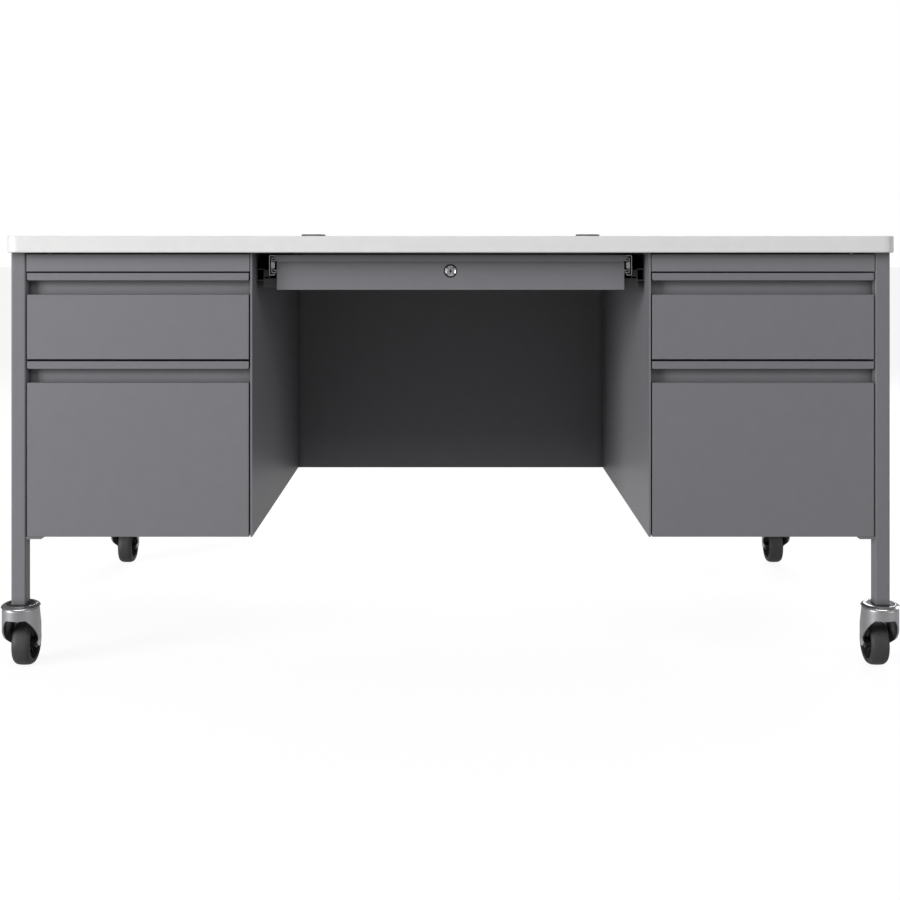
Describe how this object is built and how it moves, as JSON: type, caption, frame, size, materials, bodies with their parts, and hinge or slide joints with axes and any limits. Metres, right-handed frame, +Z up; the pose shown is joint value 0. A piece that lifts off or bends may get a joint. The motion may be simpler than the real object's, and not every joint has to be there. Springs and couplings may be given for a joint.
{
  "type": "teacher desk",
  "caption": "Mobile double-pedestal steel desk with a laminate top, box and file drawers, a locking centre drawer and swivel casters.",
  "frame": {"origin": "on the floor under the middle of the bounding box, which runs from the front edge of the worktop to the tips of the rear brake pedals", "axes": "+Z up, the front with the drawers faces -Y, +X to the right of somebody facing the front; casters trail towards +Y"},
  "size_m": [1.552, 0.8196, 0.7546],
  "materials": {
    "laminate_board": "light grey laminate on particle board",
    "edge_band": "satin white plastic band",
    "grommet_plastic": "fine texture",
    "charcoal_paint": "satin powder coat, charcoal",
    "bracket_paint": "satin powder coat, charcoal",
    "drawer_paint": "satin powder coat, charcoal",
    "zinc_plate": "bright zinc plate",
    "chrome_plate": "polished",
    "fork_zinc": "tumbled zinc plate",
    "tyre_rubber": "smooth dark rubber",
    "hub_plastic": "moulded",
    "pedal_plastic": "moulded"
  },
  "bodies": {
    "desk": {"desk_top": "laminate_board", "edge_band": "edge_band", "grommet_sleeves": "grommet_plastic", "front_left_leg": "charcoal_paint", "front_right_leg": "charcoal_paint", "rear_left_leg": "charcoal_paint", "rear_right_leg": "charcoal_paint", "left_pedestal_case": "charcoal_paint", "right_pedestal_case": "charcoal_paint", "pedestal_top_rails": "charcoal_paint", "modesty_panel": "charcoal_paint", "leg_brackets": "charcoal_paint", "centre_drawer_brackets": "bracket_paint", "slide_outer_members": "zinc_plate", "caster_raceways": "chrome_plate", "top_screws": "zinc_plate"},
    "left_box_drawer": {"left_box_front": "charcoal_paint", "left_box_tub": "drawer_paint", "left_box_inner_slides": "zinc_plate"},
    "left_box_middle_members": {"left_box_middle_slides": "zinc_plate"},
    "left_file_drawer": {"left_file_front": "charcoal_paint", "left_file_tub": "drawer_paint", "left_file_inner_slides": "zinc_plate", "left_file_hanging_rails": "zinc_plate"},
    "left_file_middle_members": {"left_file_middle_slides": "zinc_plate"},
    "right_box_drawer": {"right_box_front": "charcoal_paint", "right_box_tub": "drawer_paint", "right_box_inner_slides": "zinc_plate"},
    "right_box_middle_members": {"right_box_middle_slides": "zinc_plate"},
    "right_file_drawer": {"right_file_front": "charcoal_paint", "right_file_tub": "drawer_paint", "right_file_inner_slides": "zinc_plate", "right_file_hanging_rails": "zinc_plate"},
    "right_file_middle_members": {"right_file_middle_slides": "zinc_plate"},
    "centre_drawer": {"centre_front": "charcoal_paint", "centre_tub": "drawer_paint", "centre_inner_slides": "zinc_plate", "lock_housing": "chrome_plate"},
    "centre_middle_members": {"centre_middle_slides": "zinc_plate"},
    "lock_cylinder": {"lock_plug": "chrome_plate"},
    "left_cap": {"left_grommet_cap": "grommet_plastic"},
    "right_cap": {"right_grommet_cap": "grommet_plastic"},
    "front_left_swivel": {"front_left_fork": "fork_zinc", "front_left_axle": "zinc_plate"},
    "front_left_wheel": {"front_left_tyre": "tyre_rubber", "front_left_hub": "hub_plastic"},
    "front_right_swivel": {"front_right_fork": "fork_zinc", "front_right_axle": "zinc_plate"},
    "front_right_wheel": {"front_right_tyre": "tyre_rubber", "front_right_hub": "hub_plastic"},
    "rear_left_swivel": {"rear_left_fork": "fork_zinc", "rear_left_axle": "zinc_plate"},
    "rear_left_wheel": {"rear_left_tyre": "tyre_rubber", "rear_left_hub": "hub_plastic"},
    "rear_left_brake": {"rear_left_brake_pedal": "pedal_plastic"},
    "rear_right_swivel": {"rear_right_fork": "fork_zinc", "rear_right_axle": "zinc_plate"},
    "rear_right_wheel": {"rear_right_tyre": "tyre_rubber", "rear_right_hub": "hub_plastic"},
    "rear_right_brake": {"rear_right_brake_pedal": "pedal_plastic"}
  },
  "joints": [
    {"name": "left_box_drawer_slide", "type": "slide", "parent": "desk", "child": "left_box_drawer", "axis": [0, -1, 0], "range_m": [0, 0.55]},
    {"name": "left_box_middle_slide", "type": "slide", "parent": "desk", "child": "left_box_middle_members", "axis": [0, -1, 0], "range_m": [0, 0.275]},
    {"name": "left_file_drawer_slide", "type": "slide", "parent": "desk", "child": "left_file_drawer", "axis": [0, -1, 0], "range_m": [0, 0.55]},
    {"name": "left_file_middle_slide", "type": "slide", "parent": "desk", "child": "left_file_middle_members", "axis": [0, -1, 0], "range_m": [0, 0.275]},
    {"name": "right_box_drawer_slide", "type": "slide", "parent": "desk", "child": "right_box_drawer", "axis": [0, -1, 0], "range_m": [0, 0.55]},
    {"name": "right_box_middle_slide", "type": "slide", "parent": "desk", "child": "right_box_middle_members", "axis": [0, -1, 0], "range_m": [0, 0.275]},
    {"name": "right_file_drawer_slide", "type": "slide", "parent": "desk", "child": "right_file_drawer", "axis": [0, -1, 0], "range_m": [0, 0.55]},
    {"name": "right_file_middle_slide", "type": "slide", "parent": "desk", "child": "right_file_middle_members", "axis": [0, -1, 0], "range_m": [0, 0.275]},
    {"name": "centre_drawer_slide", "type": "slide", "parent": "desk", "child": "centre_drawer", "axis": [0, -1, 0], "range_m": [0, 0.34]},
    {"name": "centre_middle_slide", "type": "slide", "parent": "desk", "child": "centre_middle_members", "axis": [0, -1, 0], "range_m": [0, 0.17]},
    {"name": "lock_turn", "type": "hinge", "parent": "centre_drawer", "child": "lock_cylinder", "pos_m": [0, -0.36015, 0.6885], "axis": [0, -1, 0], "range_deg": [0, 90]},
    {"name": "left_cap_lift", "type": "slide", "parent": "desk", "child": "left_cap", "axis": [0, 0, 1], "range_m": [0, 0.03]},
    {"name": "right_cap_lift", "type": "slide", "parent": "desk", "child": "right_cap", "axis": [0, 0, 1], "range_m": [0, 0.03]},
    {"name": "front_left_swivel_turn", "type": "hinge", "parent": "desk", "child": "front_left_swivel", "pos_m": [-0.743, -0.37745, 0.1], "axis": [0, 0, 1], "continuous": true},
    {"name": "front_left_wheel_spin", "type": "hinge", "parent": "front_left_swivel", "child": "front_left_wheel", "pos_m": [-0.743, -0.34745, 0.0381], "axis": [1, 0, 0], "continuous": true},
    {"name": "front_right_swivel_turn", "type": "hinge", "parent": "desk", "child": "front_right_swivel", "pos_m": [0.743, -0.37745, 0.1], "axis": [0, 0, 1], "continuous": true},
    {"name": "front_right_wheel_spin", "type": "hinge", "parent": "front_right_swivel", "child": "front_right_wheel", "pos_m": [0.743, -0.34745, 0.0381], "axis": [1, 0, 0], "continuous": true},
    {"name": "rear_left_swivel_turn", "type": "hinge", "parent": "desk", "child": "rear_left_swivel", "pos_m": [-0.743, 0.32115, 0.1], "axis": [0, 0, 1], "continuous": true},
    {"name": "rear_left_wheel_spin", "type": "hinge", "parent": "rear_left_swivel", "child": "rear_left_wheel", "pos_m": [-0.743, 0.35115, 0.0381], "axis": [1, 0, 0], "continuous": true},
    {"name": "rear_left_brake_press", "type": "hinge", "parent": "rear_left_swivel", "child": "rear_left_brake", "pos_m": [-0.743, 0.35715, 0.097], "axis": [-1, 0, 0], "range_deg": [0, 15]},
    {"name": "rear_right_swivel_turn", "type": "hinge", "parent": "desk", "child": "rear_right_swivel", "pos_m": [0.743, 0.32115, 0.1], "axis": [0, 0, 1], "continuous": true},
    {"name": "rear_right_wheel_spin", "type": "hinge", "parent": "rear_right_swivel", "child": "rear_right_wheel", "pos_m": [0.743, 0.35115, 0.0381], "axis": [1, 0, 0], "continuous": true},
    {"name": "rear_right_brake_press", "type": "hinge", "parent": "rear_right_swivel", "child": "rear_right_brake", "pos_m": [0.743, 0.35715, 0.097], "axis": [-1, 0, 0], "range_deg": [0, 15]}
  ],
  "couplings": [
    {"joint": "left_box_middle_slide", "follows": "left_box_drawer_slide", "ratio": 0.5},
    {"joint": "left_file_middle_slide", "follows": "left_file_drawer_slide", "ratio": 0.5},
    {"joint": "right_box_middle_slide", "follows": "right_box_drawer_slide", "ratio": 0.5},
    {"joint": "right_file_middle_slide", "follows": "right_file_drawer_slide", "ratio": 0.5},
    {"joint": "centre_middle_slide", "follows": "centre_drawer_slide", "ratio": 0.5}
  ]
}
